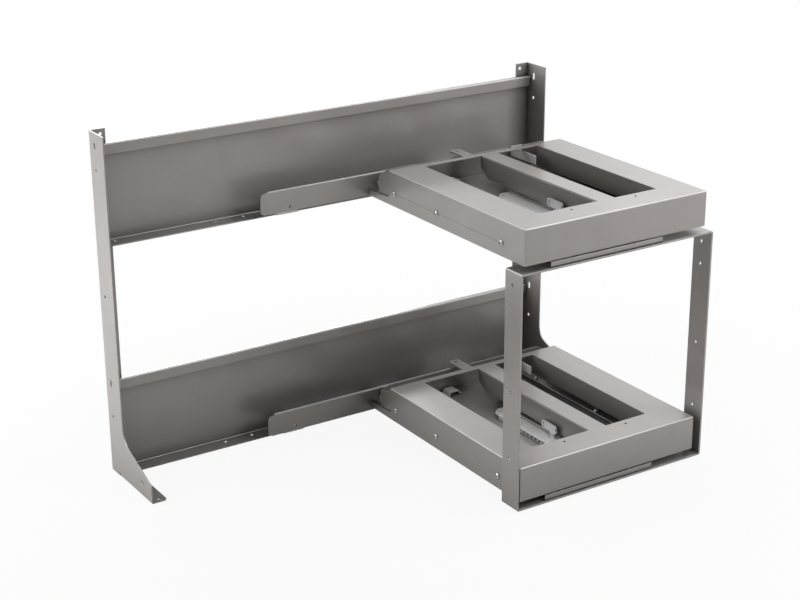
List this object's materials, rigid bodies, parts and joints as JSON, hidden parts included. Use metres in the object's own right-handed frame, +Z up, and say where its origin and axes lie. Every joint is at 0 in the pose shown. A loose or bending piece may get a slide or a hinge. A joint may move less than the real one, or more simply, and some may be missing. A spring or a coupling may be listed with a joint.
{
  "type": "corner cabinet pull-out frame",
  "caption": "Pull-out frame for a corner cabinet: a back frame of folded sheet, two windowed decks, and a front frame and rear arms that slide on ball runners.",
  "frame": {"origin": "middle of the unit's footprint, on the floor", "axes": "+X to the right as seen from the front, +Y to the back wall, +Z up"},
  "size_m": [0.864, 0.514, 0.592],
  "materials": {
    "grey_coat": "satin powder coat",
    "zinc_steel": "bright zinc plate",
    "black_plastic": "matte"
  },
  "bodies": {
    "back_frame_and_decks": {"left_upright": "grey_coat", "right_upright": "grey_coat", "upper_rail": "grey_coat", "lower_rail": "grey_coat", "flange_bolts": "zinc_steel", "deck_screws": "zinc_steel", "floor_feet": "black_plastic", "spring_clips": "zinc_steel", "lower_deck_cover": "grey_coat", "lower_deck_tray": "grey_coat", "lower_deck_pan": "grey_coat", "lower_centre_beam": "grey_coat", "lower_rear_tab": "grey_coat", "lower_support_arms": "grey_coat", "lower_catch_rail": "zinc_steel", "lower_guide_channel": "zinc_steel", "lower_guide_plate": "zinc_steel", "lower_rear_slide_outer": "zinc_steel", "lower_rear_brackets": "zinc_steel", "lower_left_slide_outer": "zinc_steel", "lower_right_slide_outer": "zinc_steel", "upper_deck_cover": "grey_coat", "upper_deck_tray": "grey_coat", "upper_deck_pan": "grey_coat", "upper_centre_beam": "grey_coat", "upper_rear_tab": "grey_coat", "upper_support_arms": "grey_coat", "upper_catch_rail": "zinc_steel", "upper_guide_channel": "zinc_steel", "upper_guide_plate": "zinc_steel", "upper_rear_slide_outer": "zinc_steel", "upper_rear_brackets": "zinc_steel", "upper_left_slide_outer": "zinc_steel", "upper_right_slide_outer": "zinc_steel"},
    "front_frame": {"front_frame": "grey_coat", "carriage_screws": "zinc_steel", "lower_left_slide_inner": "zinc_steel", "lower_right_slide_inner": "zinc_steel", "lower_carriage_plate": "grey_coat", "upper_left_slide_inner": "zinc_steel", "upper_right_slide_inner": "zinc_steel", "upper_carriage_plate": "grey_coat"},
    "slide_middles": {"lower_left_slide_middle": "zinc_steel", "lower_right_slide_middle": "zinc_steel", "upper_left_slide_middle": "zinc_steel", "upper_right_slide_middle": "zinc_steel"},
    "outer_cages": {"outer_cages": "zinc_steel"},
    "inner_cages": {"inner_cages": "zinc_steel"},
    "lower_rear_arm": {"lower_rear_arm": "grey_coat", "lower_rear_slide_inner": "zinc_steel", "lower_arm_bolts": "zinc_steel"},
    "lower_rear_cage": {"lower_rear_cage": "zinc_steel"},
    "lower_catch": {"lower_catch": "zinc_steel"},
    "lower_catch_cage": {"lower_catch_cage": "zinc_steel"},
    "upper_rear_arm": {"upper_rear_arm": "grey_coat", "upper_rear_slide_inner": "zinc_steel", "upper_arm_bolts": "zinc_steel"},
    "upper_rear_cage": {"upper_rear_cage": "zinc_steel"},
    "upper_catch": {"upper_catch": "zinc_steel"},
    "upper_catch_cage": {"upper_catch_cage": "zinc_steel"}
  },
  "joints": [
    {"name": "front_frame_slide", "type": "slide", "parent": "back_frame_and_decks", "child": "front_frame", "axis": [0, -1, 0], "range_m": [0, 0.33]},
    {"name": "slide_middles_slide", "type": "slide", "parent": "back_frame_and_decks", "child": "slide_middles", "axis": [0, -1, 0], "range_m": [0, 0.165]},
    {"name": "outer_cages_slide", "type": "slide", "parent": "back_frame_and_decks", "child": "outer_cages", "axis": [0, -1, 0], "range_m": [0, 0.0825]},
    {"name": "inner_cages_slide", "type": "slide", "parent": "back_frame_and_decks", "child": "inner_cages", "axis": [0, -1, 0], "range_m": [0, 0.2475]},
    {"name": "lower_rear_arm_slide", "type": "slide", "parent": "back_frame_and_decks", "child": "lower_rear_arm", "axis": [1, 0, 0], "range_m": [0, 0.18]},
    {"name": "lower_rear_cage_slide", "type": "slide", "parent": "back_frame_and_decks", "child": "lower_rear_cage", "axis": [1, 0, 0], "range_m": [0, 0.09]},
    {"name": "lower_catch_slide", "type": "slide", "parent": "back_frame_and_decks", "child": "lower_catch", "axis": [0, 1, 0], "range_m": [0, 0.06]},
    {"name": "lower_catch_cage_slide", "type": "slide", "parent": "back_frame_and_decks", "child": "lower_catch_cage", "axis": [0, 1, 0], "range_m": [0, 0.03]},
    {"name": "upper_rear_arm_slide", "type": "slide", "parent": "back_frame_and_decks", "child": "upper_rear_arm", "axis": [1, 0, 0], "range_m": [0, 0.18]},
    {"name": "upper_rear_cage_slide", "type": "slide", "parent": "back_frame_and_decks", "child": "upper_rear_cage", "axis": [1, 0, 0], "range_m": [0, 0.09]},
    {"name": "upper_catch_slide", "type": "slide", "parent": "back_frame_and_decks", "child": "upper_catch", "axis": [0, 1, 0], "range_m": [0, 0.06]},
    {"name": "upper_catch_cage_slide", "type": "slide", "parent": "back_frame_and_decks", "child": "upper_catch_cage", "axis": [0, 1, 0], "range_m": [0, 0.03]}
  ],
  "couplings": [
    {"joint": "slide_middles_slide", "follows": "front_frame_slide", "ratio": 0.5},
    {"joint": "outer_cages_slide", "follows": "front_frame_slide", "ratio": 0.25},
    {"joint": "inner_cages_slide", "follows": "front_frame_slide", "ratio": 0.75},
    {"joint": "lower_rear_cage_slide", "follows": "lower_rear_arm_slide", "ratio": 0.5},
    {"joint": "lower_catch_cage_slide", "follows": "lower_catch_slide", "ratio": 0.5},
    {"joint": "upper_rear_cage_slide", "follows": "upper_rear_arm_slide", "ratio": 0.5},
    {"joint": "upper_catch_cage_slide", "follows": "upper_catch_slide", "ratio": 0.5}
  ]
}
